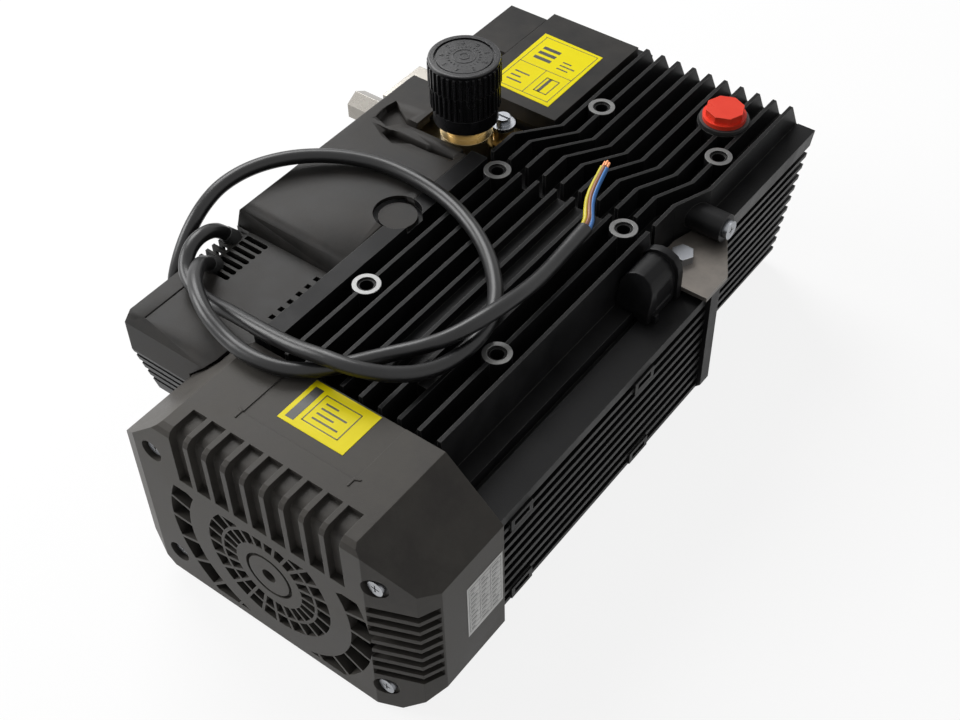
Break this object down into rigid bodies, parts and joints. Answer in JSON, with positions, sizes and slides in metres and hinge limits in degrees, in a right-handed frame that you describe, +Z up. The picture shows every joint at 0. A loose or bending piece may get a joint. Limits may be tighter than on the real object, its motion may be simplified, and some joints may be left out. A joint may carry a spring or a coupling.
{
  "type": "high-pressure pump",
  "caption": "Motor pump unit of a pressure washer: finned motor and crankcase, fan cowl, brass pump head with a regulator knob, covers and leads.",
  "frame": {"origin": "on the base, under the centre of the four motor mounting bosses", "axes": "+Z up out of the mounting bosses, +Y along the shaft from the fan end to the crankcase end, +X away from the pump head"},
  "size_m": [0.305, 0.466, 0.205],
  "materials": {
    "cast_black": "satin black casting",
    "plastic_dark": "fine grain",
    "plastic_black": "fine grain",
    "knob_black": "satin",
    "brass": "machined, dulled",
    "zinc": "zinc plated",
    "nickel": "nickel plated",
    "steel": "ground",
    "lamination": "plain",
    "winding": "varnished copper",
    "rubber": "plain",
    "lead_black": "matt",
    "red_plastic": "moulded",
    "can_grey": "plain",
    "core_green": "plain",
    "core_brown": "plain",
    "core_blue": "plain"
  },
  "bodies": {
    "unit": {"barrel_screw": "zinc", "bracket_bolt": "zinc", "cable_bushes": "rubber", "cable_gland": "plastic_black", "core_earth": "core_green", "core_live": "core_brown", "core_neutral": "core_blue", "core_tips": "winding", "cover_disc": "plastic_dark", "cowl_screws": "zinc", "crankcase": "cast_black", "cylinder_head": "brass", "fan_cowl": "plastic_dark", "far_cover": "plastic_dark", "far_cover_left": "plastic_dark", "filler_washer": "rubber", "front_bearing": "steel", "head_screws": "zinc", "hose_bracket": "nickel", "inlet_fitting": "nickel", "left_cover": "plastic_dark", "link_lead": "lead_black", "mains_lead": "lead_black", "middle_bearing": "steel", "motor_end_shield": "cast_black", "motor_housing": "cast_black", "outlet_fitting": "nickel", "plunger_seals": "rubber", "rear_bearing": "steel", "rear_cover": "cast_black", "rear_cover_screws": "zinc", "regulator_body": "brass", "regulator_collar": "knob_black", "regulator_spring": "zinc", "run_capacitor": "can_grey", "shaft_seal": "rubber", "side_block": "plastic_black", "slotted_plug": "zinc", "stator_core": "lamination", "stator_windings": "winding", "steel_bracket": "zinc", "terminal_block": "plastic_black", "terminal_box_base": "plastic_black", "terminal_box_cover": "plastic_dark", "valve_cartridges": "steel", "valve_plugs": "steel"},
    "rotor": {"crankshaft": "steel", "rotor_core": "lamination", "fan": "plastic_dark", "fan_clip": "steel"},
    "plunger_set_1": {"connecting_rod_1": "steel", "plunger_1": "steel"},
    "plunger_set_2": {"connecting_rod_2": "steel", "plunger_2": "steel"},
    "plunger_set_3": {"connecting_rod_3": "steel", "plunger_3": "steel"},
    "knob": {"regulator_knob": "knob_black"},
    "spindle": {"regulator_spindle": "steel"},
    "piston": {"regulator_piston": "steel"},
    "filler": {"filler_plug": "red_plastic"}
  },
  "joints": [
    {"name": "shaft_spin", "type": "hinge", "parent": "unit", "child": "rotor", "pos_m": [0, 0, 0.068], "axis": [0, 1, 0], "continuous": true},
    {"name": "plunger_1_stroke", "type": "slide", "parent": "unit", "child": "plunger_set_1", "axis": [-1, 0, 0], "range_m": [-0.006, 0.006]},
    {"name": "plunger_2_stroke", "type": "slide", "parent": "unit", "child": "plunger_set_2", "axis": [-1, 0, 0], "range_m": [-0.006, 0.006]},
    {"name": "plunger_3_stroke", "type": "slide", "parent": "unit", "child": "plunger_set_3", "axis": [-1, 0, 0], "range_m": [-0.006, 0.006]},
    {"name": "knob_turn", "type": "hinge", "parent": "unit", "child": "knob", "pos_m": [-0.092, 0.09, 0.168], "axis": [0, 0, -1], "range_deg": [0, 720]},
    {"name": "spindle_feed", "type": "slide", "parent": "unit", "child": "spindle", "axis": [0, 0, -1], "range_m": [0, 0.006], "deforming": ["regulator_spring"]},
    {"name": "piston_lift", "type": "slide", "parent": "unit", "child": "piston", "axis": [0, 0, 1], "range_m": [0, 0.003], "stiffness_N_per_m": 30000, "deforming": ["regulator_spring"]},
    {"name": "filler_lift", "type": "slide", "parent": "unit", "child": "filler", "axis": [0, 0, 1], "range_m": [0, 0.03]}
  ],
  "couplings": [
    {"joint": "knob_turn", "follows": "spindle_feed", "rad_per_m": 2094.4}
  ]
}
